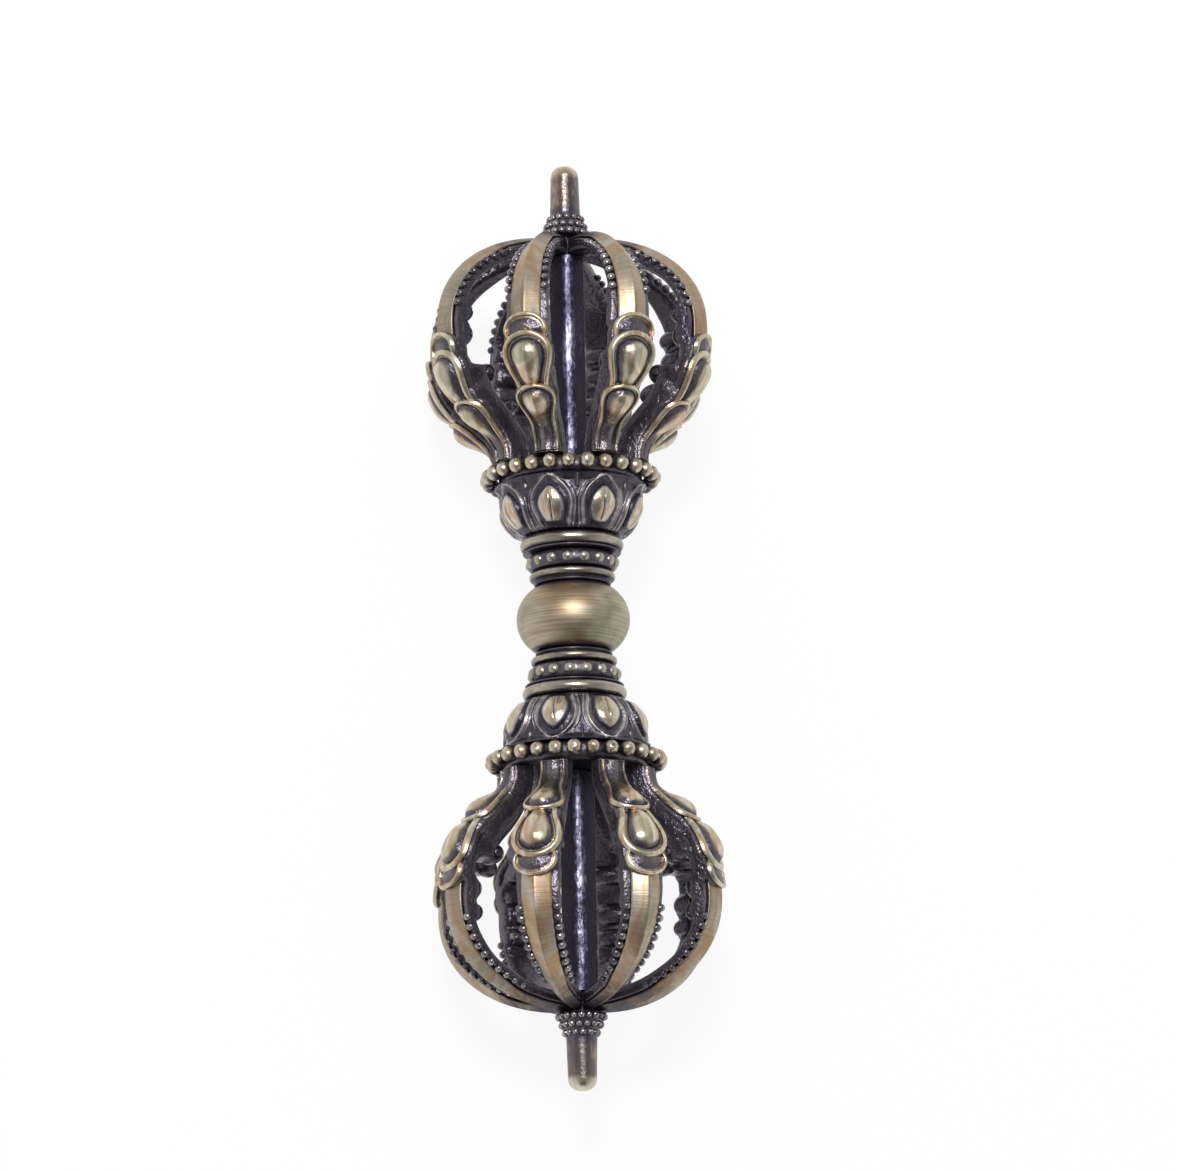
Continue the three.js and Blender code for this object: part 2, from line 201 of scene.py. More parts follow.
def skin(points, rub, grain, ring=False):
    """Quads over a grid of points whose rows each close on themselves, with the rows' ends
    left to meet at a pole, or joined in a ring. The grid may be repeated as copies. The rub is
    how bare the brass is, from 0 to 1, and the grain is the place across the brush lines. The
    faces are turned outward by the sign of the volume that they enclose."""
    points = points.reshape((-1,) + points.shape[-3:])
    copies, rows, columns = points.shape[:3]
    rub = np.broadcast_to(rub, (copies, rows, columns)).ravel()
    grain = np.broadcast_to(grain, (copies, rows, columns)).ravel()
    index = np.arange(rows * columns).reshape(rows, columns)
    index = np.hstack([index, index[:, :1]])
    if ring:
        index = np.vstack([index, index[:1]])
    quads = np.stack([index[:-1, :-1], index[:-1, 1:], index[1:, 1:], index[1:, :-1]], -1)
    quads = quads.reshape(-1, 4)
    points = points.reshape(copies, -1, 3)
    a, b, c, d = np.moveaxis(points[:, quads], 2, 0)
    volume = (np.cross(a, b) * c + np.cross(a, c) * d).sum((1, 2))
    quads = np.where(volume[:, None, None] < 0, quads[:, ::-1], quads)
    quads = quads + rows * columns * np.arange(copies)[:, None, None]
    return points.reshape(-1, 3), rub, grain, quads.reshape(-1, 4)


def add_piece(name, skins, material, nodes, side=1, others=None):
    """Joins skins into one smooth piece that stands for CAD nodes. Side 1 is the upper head,
    and side -1 is the lower head, turned half round the upright. Other materials may be given
    for some skins, by their place in the list."""
    counts = np.cumsum([0] + [len(points) for points, _, _, _ in skins])
    points = np.concatenate([points for points, _, _, _ in skins]) * [side, side, 1]
    points = points * mm + [0, 0, axis_height]
    points[:, 2] = np.maximum(points[:, 2], 0.0)
    mesh = bpy.data.meshes.new(name)
    mesh.from_pydata(points, [], np.concatenate([s[3] + first for s, first in zip(skins, counts)]))
    for label, place in (("rub", 1), ("grain", 2)):
        layer = mesh.attributes.new(label, "FLOAT", "POINT")
        layer.data.foreach_set("value", np.concatenate([s[place] for s in skins]).astype(np.float32))
    mesh.materials.append(material)
    faces = np.cumsum([0] + [len(s[3]) for s in skins])
    choice = np.zeros(faces[-1], np.int32)
    for number, (index, other) in enumerate((others or {}).items(), 1):
        mesh.materials.append(other)
        choice[faces[index]:faces[index + 1]] = number
    mesh.polygons.foreach_set("material_index", choice)
    shell = bmesh.new()
    shell.from_mesh(mesh)
    bmesh.ops.remove_doubles(shell, verts=shell.verts, dist=weld_distance * mm)
    shell.to_mesh(mesh)
    shell.free()
    mesh.shade_smooth()
    mesh.set_sharp_from_angle(angle=np.radians(sharp_angle))
    piece = bpy.data.objects.new(name, mesh)
    bpy.context.scene.collection.objects.link(piece)
    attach(piece, "root")
    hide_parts(*nodes)
    return piece


def turned_grid(profile, columns):
    """A profile of [radius, height] carried round the axis, and the length along it."""
    angle = np.linspace(0, 2 * np.pi, columns, endpoint=False)
    radius, height = profile[:, :1], profile[:, 1:]
    points = np.stack(np.broadcast_arrays(
        radius * np.cos(angle), height, -radius * np.sin(angle),
    ), -1)
    length = np.cumsum(np.hypot(*np.diff(profile, axis=0, prepend=profile[:1]).T))
    return points, length[:, None]


def new_group(name, inputs, output, kind):
    """A shader node group with number inputs and one output."""
    tree = bpy.data.node_groups.new(name, "ShaderNodeTree")
    for label, value in inputs.items():
        socket = tree.interface.new_socket(label, in_out="INPUT", socket_type="NodeSocketFloat")
        socket.default_value = value
    tree.interface.new_socket(output, in_out="OUTPUT", socket_type=kind)
    start = tree.nodes.new("NodeGroupInput")
    end = tree.nodes.new("NodeGroupOutput")
    return tree, start.outputs, end.inputs[0]


def stretched_place(nodes, along):
    """The place on the piece with its height along the axis multiplied, so that what a noise
    makes of it is drawn out along the axis under 1 and pressed into bands above 1."""
    place = add_node(nodes, "ShaderNodeTexCoord").outputs["Object"]
    factor = add_node(nodes, "ShaderNodeCombineXYZ", {"X": 1.0, "Y": along, "Z": 1.0})
    return add_node(nodes, "ShaderNodeVectorMath", {
        0: place, 1: factor.outputs[0],
    }, operation="MULTIPLY").outputs[0]


def bare_places():
    """Where the brass is bare: the rub, made ragged by fine and broad noise."""
    inputs = {"Rub": 1.0, "Ragged": 0.3, "Fineness": 900.0, "Along": 1.0}
    tree, given, out = new_group("bare_places", inputs, "Bare", "NodeSocketFloat")
    nodes = tree.nodes
    place = stretched_place(nodes, given["Along"])
    fine = add_node(nodes, "ShaderNodeTexNoise", {
        "Vector": place, "Scale": given["Fineness"], "Detail": 4.0, "Roughness": 0.65,
    })
    broad = add_node(nodes, "ShaderNodeTexNoise", {"Vector": place, "Scale": 190.0, "Detail": 2.0})
    both = add_node(nodes, "ShaderNodeMath", {
        0: fine.outputs[0], 1: broad.outputs[0],
    }, operation="ADD")
    centred = add_node(nodes, "ShaderNodeMath", {0: both.outputs[0], 1: 1.0}, operation="SUBTRACT")
    ragged = add_node(nodes, "ShaderNodeMath", {
        0: centred.outputs[0], 1: given["Ragged"], 2: given["Rub"],
    }, operation="MULTIPLY_ADD")
    step = add_node(nodes, "ShaderNodeMapRange", {
        "Value": ragged.outputs[0], "From Min": 0.08, "From Max": 0.85,
    }, interpolation_type="SMOOTHSTEP")
    tree.links.new(step.outputs[0], out)
    return tree


def cloudy_tones(name, stops):
    """Tones that drift into each other over a few millimetres, by a broad noise, which may
    lean towards the later tones from the left to the right of the piece."""
    inputs = {"Breadth": 130.0, "Along": 1.0, "Lean": 0.0}
    tree, given, out = new_group(name, inputs, "Color", "NodeSocketColor")
    nodes = tree.nodes
    place = stretched_place(nodes, given["Along"])
    cloud = add_node(nodes, "ShaderNodeTexNoise", {
        "Vector": place, "Scale": given["Breadth"], "Detail": 2.0, "Roughness": 0.5,
        "Distortion": 0.3,
    })
    side = add_node(nodes, "ShaderNodeSeparateXYZ", {0: place}).outputs["X"]
    leaning = add_node(nodes, "ShaderNodeMath", {
        0: side, 1: given["Lean"], 2: cloud.outputs[0],
    }, operation="MULTIPLY_ADD")
    ramp = add_node(nodes, "ShaderNodeValToRGB", {0: leaning.outputs[0]})
    set_ramp(ramp, stops)
    tree.links.new(ramp.outputs[0], out)
    return tree


def brush_lines():
    """Fine lines across the grain, broken up along their length."""
    inputs = {"Grain": 0.0, "Lines": 9.0, "Break": 70.0}
    tree, given, out = new_group("brush_lines", inputs, "Height", "NodeSocketFloat")
    nodes = tree.nodes
    place = add_node(nodes, "ShaderNodeTexCoord").outputs["Object"]
    long = add_node(nodes, "ShaderNodeVectorMath", {
        0: place, "Scale": given["Break"],
    }, operation="SCALE")
    across = add_node(nodes, "ShaderNodeMath", {
        0: given["Grain"], 1: given["Lines"],
    }, operation="MULTIPLY")
    lift = add_node(nodes, "ShaderNodeCombineXYZ", {"Y": across.outputs[0]})
    where = add_node(nodes, "ShaderNodeVectorMath", {
        0: long.outputs[0], 1: lift.outputs[0],
    }, operation="ADD")
    noise = add_node(nodes, "ShaderNodeTexNoise", {
        "Vector": where.outputs[0], "Scale": 1.0, "Detail": 3.0, "Roughness": 0.6,
    })
    tree.links.new(noise.outputs[0], out)
    return tree


def cast_pits():
    """The small hollows of a sand casting: dark spots of a fine noise."""
    tree, given, out = new_group("cast_pits", {"Scale": 1500.0}, "Height", "NodeSocketFloat")
    nodes = tree.nodes
    place = add_node(nodes, "ShaderNodeTexCoord").outputs["Object"]
    noise = add_node(nodes, "ShaderNodeTexNoise", {
        "Vector": place, "Scale": given["Scale"], "Detail": 3.0, "Roughness": 0.5,
    })
    tree.links.new(noise.outputs[0], out)
    return tree


bare_group = bare_places()
brass_tones = cloudy_tones("brass_tones", [
    (0.26, (0.40, 0.36, 0.25)), (0.38, (0.57, 0.50, 0.39)), (0.48, (0.50, 0.39, 0.27)),
    (0.58, (0.61, 0.55, 0.45)), (0.68, (0.45, 0.41, 0.30)), (0.80, (0.58, 0.50, 0.43)),
])
bulb_tones = cloudy_tones("bulb_tones", [
    (0.30, (0.27, 0.22, 0.14)), (0.40, (0.37, 0.275, 0.175)), (0.50, (0.41, 0.36, 0.27)),
    (0.60, (0.28, 0.27, 0.18)), (0.72, (0.42, 0.37, 0.28)),
])
patina_tones = cloudy_tones("patina_tones", [
    (0.30, (0.054, 0.045, 0.070)), (0.46, (0.088, 0.074, 0.098)),
    (0.58, (0.110, 0.092, 0.104)), (0.72, (0.074, 0.063, 0.096)),
])
brush_group = brush_lines()
pits_group = cast_pits()
tarnish = (0.17, 0.115, 0.075)       # between the patina and the bare brass
dark_edge = (0.30, 0.28, 0.34)       # of the patina's reflection where it is seen aslant
worn_from = 0.4                      # bareness at which the patina has gone over into the tarnish
clean_from = 0.3                     # bareness at which the bare brass starts to show
brush_roughness = 0.12               # that the brush lines add to the roughness
patina_metal = 0.8                   # how metallic the patina is
lacquer_roughness = 0.08
rubbed_pits = 0.3                    # share of the pits' depth that rubbing leaves


def antique_brass(name, ragged=0.3, fineness=900.0, along=1.0, breadth=130.0, lines=6.0,
                  line_depth=0.012, line_shade=0.12, pit_scale=1000.0, pit_depth=0.05,
                  bright_roughness=0.26, dark_roughness=0.3, coat=0.4, tones=None, lean=0.0,
                  dark_tones=None, between=tarnish):
    """Brass, blackened and then rubbed bare where the rub is high, brushed across its grain
    and lightly pitted. As it gets barer its colour goes from the dark tones over the one
    between to the bright tones, and the coat of lacquer goes. Depths are in millimetres."""
    material = bpy.data.materials.new(name)
    material.use_nodes = True
    nodes = material.node_tree.nodes
    nodes.clear()
    rub = add_node(nodes, "ShaderNodeAttribute", attribute_name="rub").outputs["Fac"]
    grain = add_node(nodes, "ShaderNodeAttribute", attribute_name="grain").outputs["Fac"]
    bare = add_node(nodes, "ShaderNodeGroup", {
        "Rub": rub, "Ragged": ragged, "Fineness": fineness, "Along": along,
    }, node_tree=bare_group)
    brass = add_node(nodes, "ShaderNodeGroup", {
        "Breadth": breadth, "Along": along, "Lean": lean,
    }, node_tree=tones or brass_tones)
    patina = add_node(nodes, "ShaderNodeGroup", {
        "Breadth": 2 * breadth, "Along": along,
    }, node_tree=dark_tones or patina_tones)
    brush = add_node(nodes, "ShaderNodeGroup", {
        "Grain": grain, "Lines": lines,
    }, node_tree=brush_group)
    pits = add_node(nodes, "ShaderNodeGroup", {"Scale": pit_scale}, node_tree=pits_group)
    shade = add_node(nodes, "ShaderNodeMapRange", {
        "Value": brush.outputs[0], "From Min": 0.3, "From Max": 0.7,
        "To Min": 1 - line_shade, "To Max": 1 + line_shade,
    })
    shaded = add_node(nodes, "ShaderNodeVectorMath", {
        0: brass.outputs[0], "Scale": shade.outputs[0],
    }, operation="SCALE")
    worn = add_node(nodes, "ShaderNodeMapRange", {
        "Value": bare.outputs[0], "From Max": worn_from,
    })
    tarnished = add_node(nodes, "ShaderNodeMix", {
        0: worn.outputs[0], 6: patina.outputs[0], 7: (*between, 1.0),
    }, data_type="RGBA")
    clean = add_node(nodes, "ShaderNodeMapRange", {
        "Value": bare.outputs[0], "From Min": clean_from,
    })
    colour = add_node(nodes, "ShaderNodeMix", {
        0: clean.outputs[0], 6: tarnished.outputs[2], 7: shaded.outputs[0],
    }, data_type="RGBA")
    roughness = add_node(nodes, "ShaderNodeMapRange", {
        "Value": bare.outputs[0], "To Min": dark_roughness, "To Max": bright_roughness,
    })
    uneven = add_node(nodes, "ShaderNodeMath", {
        0: brush.outputs[0], 1: brush_roughness, 2: roughness.outputs[0],
    }, operation="MULTIPLY_ADD")
    metal = add_node(nodes, "ShaderNodeMapRange", {
        "Value": bare.outputs[0], "To Min": patina_metal, "To Max": 1.0,
    })
    lacquer = add_node(nodes, "ShaderNodeMapRange", {
        "Value": bare.outputs[0], "To Min": coat, "To Max": 0.0,
    })
    lined = add_node(nodes, "ShaderNodeBump", {
        "Height": brush.outputs[0], "Distance": line_depth * mm, "Strength": 1.0,
    })
    depth = add_node(nodes, "ShaderNodeMapRange", {
        "Value": bare.outputs[0], "To Min": 1.0, "To Max": rubbed_pits,
    })
    pitted = add_node(nodes, "ShaderNodeBump", {
        "Height": pits.outputs[0], "Distance": pit_depth * mm, "Strength": depth.outputs[0],
        "Normal": lined.outputs[0],
    })
    edge = add_node(nodes, "ShaderNodeMix", {
        0: worn.outputs[0], 6: (*dark_edge, 1.0), 7: (1.0, 1.0, 1.0, 1.0),
    }, data_type="RGBA")
    surface = add_node(nodes, "ShaderNodeBsdfPrincipled", {
        "Base Color": colour.outputs[2], "Roughness": uneven.outputs[0],
        "Metallic": metal.outputs[0], "Specular Tint": edge.outputs[2],
        "Coat Weight": lacquer.outputs[0], "Coat Roughness": lacquer_roughness,
        "Normal": pitted.outputs[0], "Coat Normal": pitted.outputs[0],
    })
    add_node(nodes, "ShaderNodeOutputMaterial", {"Surface": surface.outputs[0]})
    return material


bulb_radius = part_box("bulb")[1].x / mm
bulb_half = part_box("bulb")[1].y / mm
bulb_end_radius = 6.4
bulb_squareness = 1.2                # 1 is an ellipse
bulb_bare, bulb_end_dark = 0.9, 0.75
stud_bore = 3.3                      # radius of the bore for the stud

bulb_edge = np.arccos((bulb_end_radius / bulb_radius) ** bulb_squareness)
latitude = np.linspace(-bulb_edge, bulb_edge, 81)
bulb_profile = np.stack([
    bulb_radius * np.cos(latitude) ** (1 / bulb_squareness),
    bulb_half * np.sin(latitude) / np.sin(bulb_edge),
], 1)
bulb_profile = np.concatenate([[[stud_bore, -bulb_half]], bulb_profile, [[stud_bore, bulb_half]]])
bulb_points, bulb_grain = turned_grid(bulb_profile, columns=192)
bulb_end = smooth(np.abs(bulb_profile[:, 1:]), bulb_half - 0.9, bulb_half - 0.1)
bulb_rub = bulb_bare - bulb_end_dark * bulb_end
bulb_finish = antique_brass("brushed_bulb_brass", ragged=0.5, along=1.6, breadth=80.0, lines=5.0,
                            line_depth=0.025, line_shade=0.3, pit_depth=0.01,
                            bright_roughness=0.37, tones=bulb_tones, lean=11.0)
add_piece("turned_bulb", [skin(bulb_points, bulb_rub, bulb_grain, ring=True)], bulb_finish,
          ["bulb"])


# The stud: a plain straight pin hidden in the bulb, which ties the two heads together.
# It is turned brass, blackened all over, and seats in the foot of each lotus.
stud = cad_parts["core_stud"]
stud.data.materials.clear()
stud.data.materials.append(antique_brass("blackened_stud_brass"))


# The collars, beaded bands and neck rings: three turned brass rings slide over the stud between
# the bulb and each seat. The band is blackened, and its round beads were cast with it.
heads = {"upper": 1, "lower": -1}


def ring_box(node):
    """The lower end, upper end and greatest radius of a turned node of the upper head."""
    low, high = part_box(node)
    return low.y / mm, high.y / mm, high.x / mm


def ball(rows, columns):
    """A unit ball as a grid whose poles lie on the second axis."""
    polar = np.linspace(-np.pi / 2, np.pi / 2, rows)[:, None]
    around = np.linspace(0, 2 * np.pi, columns, endpoint=False)
    return np.stack(np.broadcast_arrays(
        np.cos(polar) * np.cos(around), np.sin(polar), np.cos(polar) * np.sin(around),
    ), -1)


def bead_circle(count, circle, height, radii, rows, columns, bare=0.85, dimple=0.0, seed=3,
                uneven=0.05):
    """Beads round the axis: a unit ball is stretched along the radius, the axis and the ring,
    moved out to the circle and turned to each place, each a little bigger or smaller. The rub
    fades from the outer side to the inner. A dimple is a bell-shaped dent near the outer end
    that is darker too."""
    chance = np.random.default_rng(seed)
    size = 1 + uneven * chance.uniform(-1, 1, (count, 1, 1))
    angle = 2 * np.pi * (np.arange(count)[:, None, None] + 0.5) / count
    unit = ball(rows, columns)
    spot = chance.uniform(-0.3, 0.3, (2, count, 1, 1))
    off_spot = (unit[..., 1] - spot[0]) ** 2 + (unit[..., 2] - spot[1]) ** 2
    hollow = dimple * np.exp(-off_spot / 0.3 ** 2)
    size = size * (1 - 0.25 * hollow * (unit[..., 0] > 0))
    out = circle + size * radii[0] * unit[..., 0]
    across = size * radii[2] * unit[..., 2]
    points = np.stack([
        out * np.cos(angle) + across * np.sin(angle),
        height + size * radii[1] * unit[..., 1],
        -out * np.sin(angle) + across * np.cos(angle),
    ], -1)
    dark = 0.15
    rub = dark + (bare - dark) * smooth(unit[..., 0], -0.1, 0.75) - 0.6 * hollow
    return skin(points, np.clip(rub, 0, 1), height + radii[1] * unit[..., 1])


# A collar is a thin roll and a fuller one, and a ring is a small fillet under a full roll
ring_columns = 160
collar_low, collar_high, collar_radius = ring_box("upper_neck_collar")
collar_profile = np.concatenate([
    [[stud_bore, collar_low]],
    arc((collar_radius - 1.0, collar_low + 0.25), (0.22, 0.22), -90, 90, 9),
    [[collar_radius - 0.95, collar_low + 0.55]],
    arc((collar_radius - 0.7, collar_high - 0.72), (0.7, 0.68), -90, 90, 25),
    [[stud_bore, collar_high]],
])
ring_low, ring_high, ring_radius = ring_box("upper_neck_ring")
ring_profile = np.concatenate([
    [[stud_bore, ring_low]],
    arc((ring_radius - 0.75, ring_low + 0.22), (0.3, 0.2), -90, 90, 13),
    arc((ring_radius - 0.95, ring_high - 1.08), (0.95, 1.06), -90, 90, 33),
    [[stud_bore, ring_high]],
])
band_low, band_high, bead_reach = ring_box("upper_neck_beads")
band_radius = 7.5
band_round = 0.7
neck_bead_count = 16
neck_bead_radii = (1.1, 1.1, 1.1)
ring_dark = 0.12                     # rub of what a hand doesn't reach
collar_bare, ring_bare = 0.5, 0.55   # added on the rolls' crests
band_middle = (band_low + band_high) / 2
band_profile = np.concatenate([
    [[stud_bore, band_low]],
    arc((band_radius - band_round, band_middle), (band_round, band_middle - band_low), -90, 90, 25),
    [[stud_bore, band_high]],
])
ring_tones = cloudy_tones("ring_tones", [
    (0.30, (0.33, 0.29, 0.23)), (0.50, (0.45, 0.40, 0.33)), (0.70, (0.35, 0.32, 0.25)),
])
ring_finish = antique_brass("rubbed_ring_brass", ragged=0.7, along=2.0, lines=4.0, pit_depth=0.03,
                            bright_roughness=0.2, tones=ring_tones, between=(0.13, 0.10, 0.085))
band_finish = antique_brass("beaded_band_brass", ragged=0.8, fineness=1300.0, pit_depth=0.08,
                            line_depth=0.0, tones=ring_tones, between=(0.18, 0.165, 0.16))
for head, side in heads.items():
    points, grain = turned_grid(collar_profile, ring_columns)
    crest = smooth(collar_profile[:, :1], collar_radius - 0.4, collar_radius)
    rub = ring_dark + collar_bare * crest
    add_piece(f"{head}_turned_collar", [skin(points, rub, grain, ring=True)], ring_finish,
              [f"{head}_neck_collar"], side)
    points, grain = turned_grid(ring_profile, ring_columns)
    crest = smooth(ring_profile[:, :1], ring_radius - 0.7, ring_radius)
    fillet = 0.5 + 0.5 * smooth(ring_profile[:, 1:], ring_low + 0.4, ring_low + 0.9)
    rub = (ring_dark + ring_bare * crest) * fillet
    add_piece(f"{head}_turned_ring", [skin(points, rub, grain, ring=True)], ring_finish,
              [f"{head}_neck_ring"], side)
    points, grain = turned_grid(band_profile, ring_columns)
    beads = bead_circle(neck_bead_count, bead_reach - neck_bead_radii[0], band_middle,
                        neck_bead_radii, rows=15, columns=20, bare=0.8)
    add_piece(f"{head}_beaded_band", [skin(points, ring_dark, grain, ring=True), beads],
              band_finish, [f"{head}_neck_beads"], side)


# The lotus seats: a cast cup with eight pointed petals, one under each prong, each with a round
# rim and an almond seed. The ground is nearly black, and the seeds and rims are rubbed bare; the
# pale grey on the rims' crests is that wear and also a painted highlight.
# The stud seats in its foot, and a boss on its top carries the pearl ring and the shaft.
petal_count = 8
seat_low, boss_top, _ = ring_box("upper_lotus_seat")
piece_gap = 0.3                      # between neighbouring pieces
seat_top = ring_box("upper_pearl_ring")[0] - 0.1
boss_radius = 9.4
tang_bore = 2.4                      # radius of the shaft's socket
foot_socket_depth = 5.0              # of the stud's bore, with a cone of 1 mm above it
seat_foot_radius, seat_belly_radius, seat_top_radius = 8.5, 11.7, 12.1
seat_flare = 0.85                    # of the edge under the pearls
petal_reach = 0.985                  # shares of the seat's height: a petal's tip,
petal_shoulder = 0.42                # and where its sides start to close
petal_fullness = 0.84                # share of its room that a petal fills
rim_height, rim_width = 0.4, 0.6
second_rim_gap = 0.45                # from a petal's edge out to the thin second rim
seed_reach, seed_middle = 0.8, 0.38  # shares of the height: a seed's tip and its widest place
seed_half, seed_height = 2.5, 1.05
slit_half = 0.1
dot_count = 96                       # of the fine dots round the foot

share = np.linspace(0, 1, 142)[:, None]
azimuth = np.linspace(0, 2 * np.pi, 672, endpoint=False)
seat_length = seat_top - seat_low
seat_radius = seat_foot_radius + (seat_belly_radius - seat_foot_radius) * np.sin(
    np.pi / 2 * np.minimum(share / 0.6, 1)) ** 0.85
seat_radius = seat_radius + (seat_top_radius - seat_belly_radius) * smooth(share, 0.5, 1.0)
seat_radius = seat_radius + seat_flare * smooth(share, 0.86, 1.0)
petal_place = (azimuth * petal_count / (2 * np.pi)) % 1 * 2 - 1     # -1 to 1 across one petal
arc_room = seat_radius * np.pi / petal_count
across = np.abs(petal_place) * arc_room


def edge_distance(half_width):
    """How far a place lies outside an outline of the given half width, in millimetres: the
    difference across, divided by the slope of that difference."""
    difference = across - half_width
    slope_up = np.gradient(difference, seat_length / (len(share) - 1), axis=0)
    slope_round = np.gradient(difference, axis=1) / (2 * np.pi * seat_radius / len(azimuth))
    return difference / np.sqrt(slope_up ** 2 + np.minimum(slope_round ** 2, 1.0) + 1e-6)


def ridge_line(distance, width):
    """A rounded ridge, 1 at its middle and nearly 0 past twice its width: the bell curve of
    the distance over the width."""
    return np.exp(-(distance / width) ** 2)


# A petal keeps its width up to its shoulder and closes to the tip as a pointed arch. A round
# rim follows its edge. The seed is an almond, domed as a half ellipse, with a wavy slit.
left = np.clip((petal_reach - share) / (petal_reach - petal_shoulder), 0, 1)
closing = (1 - (1 - left) ** 2) ** 0.72 * (1 - 0.12 * smooth(-share, -petal_shoulder, 0.0))
petal_edge = edge_distance(petal_fullness * arc_room * closing)
rim = ridge_line(petal_edge + rim_width / 2, rim_width / 2.2)
rim_crest_wear_and_highlight = ridge_line(petal_edge + rim_width / 2, 0.5)
left = np.clip((seed_reach - share) / (seed_reach - seed_middle), 0, 1)
seed_width = seed_half * (1 - (1 - left) ** 2) ** 0.8
seed_width = seed_width * (1 - 0.58 * np.clip(1 - share / seed_middle, 0, 1) ** 1.6)
bulge = np.sqrt(np.clip(1 - (across / (seed_width + 1e-6)) ** 2, 0, 1))
seed_dome = bulge * (seed_width / seed_half) ** 0.6 * smooth(share, 0.02, 0.12)
wave = 0.12 * np.sin(9 * share + np.floor(azimuth * petal_count / (2 * np.pi)) * 2.1)
seed_slit = ridge_line(petal_place * arc_room - wave, slit_half)
seed_slit = seed_slit * smooth(share, 0.08, 0.16) * (1 - smooth(share, 0.42, 0.62))
second_rim = ridge_line(petal_edge - second_rim_gap, 0.17) * (1 - smooth(share, 0.6, 0.9))
gap_place = (1 - np.abs(petal_place)) * arc_room     # from the line between two petals
keel = ridge_line(gap_place, 0.18) * smooth(share, 0.7, 0.8) * (1 - smooth(share, 0.94, 0.99))
outside = smooth(petal_edge, -0.1, 0.4)
dots = ridge_line((share - 0.05) * seat_length, 0.2) * (0.5 + 0.5 * np.cos(azimuth * dot_count))
dots = dots * outside

# Each form with its height in millimetres and with how bare it is rubbed; the rims' crest rub also
# paints a highlight
forms = [
    (rim, rim_height, 0.0), (rim_crest_wear_and_highlight, 0.0, 0.4), (second_rim, 0.22, 0.34), (keel, 0.26, 0.3),
    (dots, 0.16, 0.4), (seed_dome, seed_height, 0.0), (smooth(seed_dome, 0.3, 0.95), 0.0, 0.85),
    (seed_slit, -0.3, -0.9), (outside, -0.15, 0.0),
]
relief = sum(height * form for form, height, _ in forms)
seat_rub = sum(bare * form for form, _, bare in forms)
relief = relief * smooth(share, 0.0, 0.04) * (1 - smooth(share, 0.975, 1.0))
seat_points = np.stack(np.broadcast_arrays(
    (seat_radius + relief) * np.cos(azimuth),
    seat_low + seat_length * share,
    -(seat_radius + relief) * np.sin(azimuth),
), -1)
socket_top = seat_low + foot_socket_depth
inner_profile = np.array([
    [boss_radius, seat_top], [boss_radius, boss_top], [tang_bore, boss_top],
    [tang_bore, socket_top + 1.0], [stud_bore, socket_top], [stud_bore, seat_low],
])
inner_points, _ = turned_grid(inner_profile, len(azimuth))
seat_points = np.concatenate([seat_points, inner_points])
seat_rub = np.concatenate([np.clip(seat_rub, 0, 1), np.full(inner_points.shape[:2], 0.05)])
seat_grain = np.concatenate([petal_place * arc_room, inner_points[..., 1]])
leaf_tones = cloudy_tones("leaf_tones", [
    (0.30, (0.46, 0.40, 0.25)), (0.41, (0.62, 0.55, 0.42)), (0.49, (0.52, 0.37, 0.23)),
    (0.57, (0.66, 0.59, 0.48)), (0.67, (0.42, 0.39, 0.25)), (0.78, (0.60, 0.50, 0.44)),
])
seat_dark = cloudy_tones("dark_seat_tones", [
    (0.35, (0.030, 0.024, 0.040)), (0.65, (0.052, 0.043, 0.060)),
])
# The pale grey between tone is the half-rubbed colour, and on the rims' crests also a painted
# highlight
seat_finish = antique_brass("blackened_lotus_brass", ragged=0.55, fineness=1100.0, along=0.5,
                            breadth=300.0, lines=3.0, line_depth=0.006, line_shade=0.2,
                            pit_scale=1500.0, pit_depth=0.14, bright_roughness=0.22, coat=0.6,
                            tones=leaf_tones, dark_tones=seat_dark, between=(0.38, 0.35, 0.37))
seat = skin(seat_points, seat_rub, seat_grain, ring=True)
for head, side in heads.items():
    add_piece(f"{head}_carved_lotus", [seat], seat_finish, [f"{head}_lotus_seat"],
              side)


# The pearl rings: a cast ring of long round pearls that slips over the boss of each seat and
# is pinched there under the roots of the prongs. The pearls are rubbed bare, the ring is dark,
# painted lighter towards its top as painted light in the shaded gap under the prongs' roots.
pearl_low, pearl_high, pearl_reach = ring_box("upper_pearl_ring")
pearl_count = 28
pearl_radii = (1.45, 1.28, 1.26)     # along the radius, the axis and the ring
pearl_ring_radius = 12.2
pearl_ring_bore = boss_radius + piece_gap
pearl_middle = (pearl_low + pearl_high) / 2
pearl_dimple = 0.5                   # share of the deepest dent
pearl_profile = np.concatenate([
    [[pearl_ring_bore, pearl_low]],
    arc((pearl_ring_radius - 1.0, pearl_middle), (1.0, pearl_middle - pearl_low), -90, 90, 33),
    [[pearl_ring_bore, pearl_high]],
])
pearl_finish = antique_brass("rubbed_pearl_brass", ragged=0.8, fineness=1400.0, line_depth=0.0,
                             pit_scale=1200.0, pit_depth=0.12)
for head, side in heads.items():
    points, grain = turned_grid(pearl_profile, columns=224)
    # Painted light: the ring gets lighter towards its top, to lift the shade in the gap under the
    # prongs
    ring_rub_and_painted_light = 0.05 + 0.2 * smooth(pearl_profile[:, 1:], pearl_middle, pearl_high)
    pearls = bead_circle(pearl_count, pearl_reach - pearl_radii[0], pearl_middle, pearl_radii,
                         rows=21, columns=28, dimple=pearl_dimple)
    add_piece(f"{head}_pearls", [skin(points, ring_rub_and_painted_light, grain, ring=True), pearls], pearl_finish,
              [f"{head}_pearl_ring"], side)
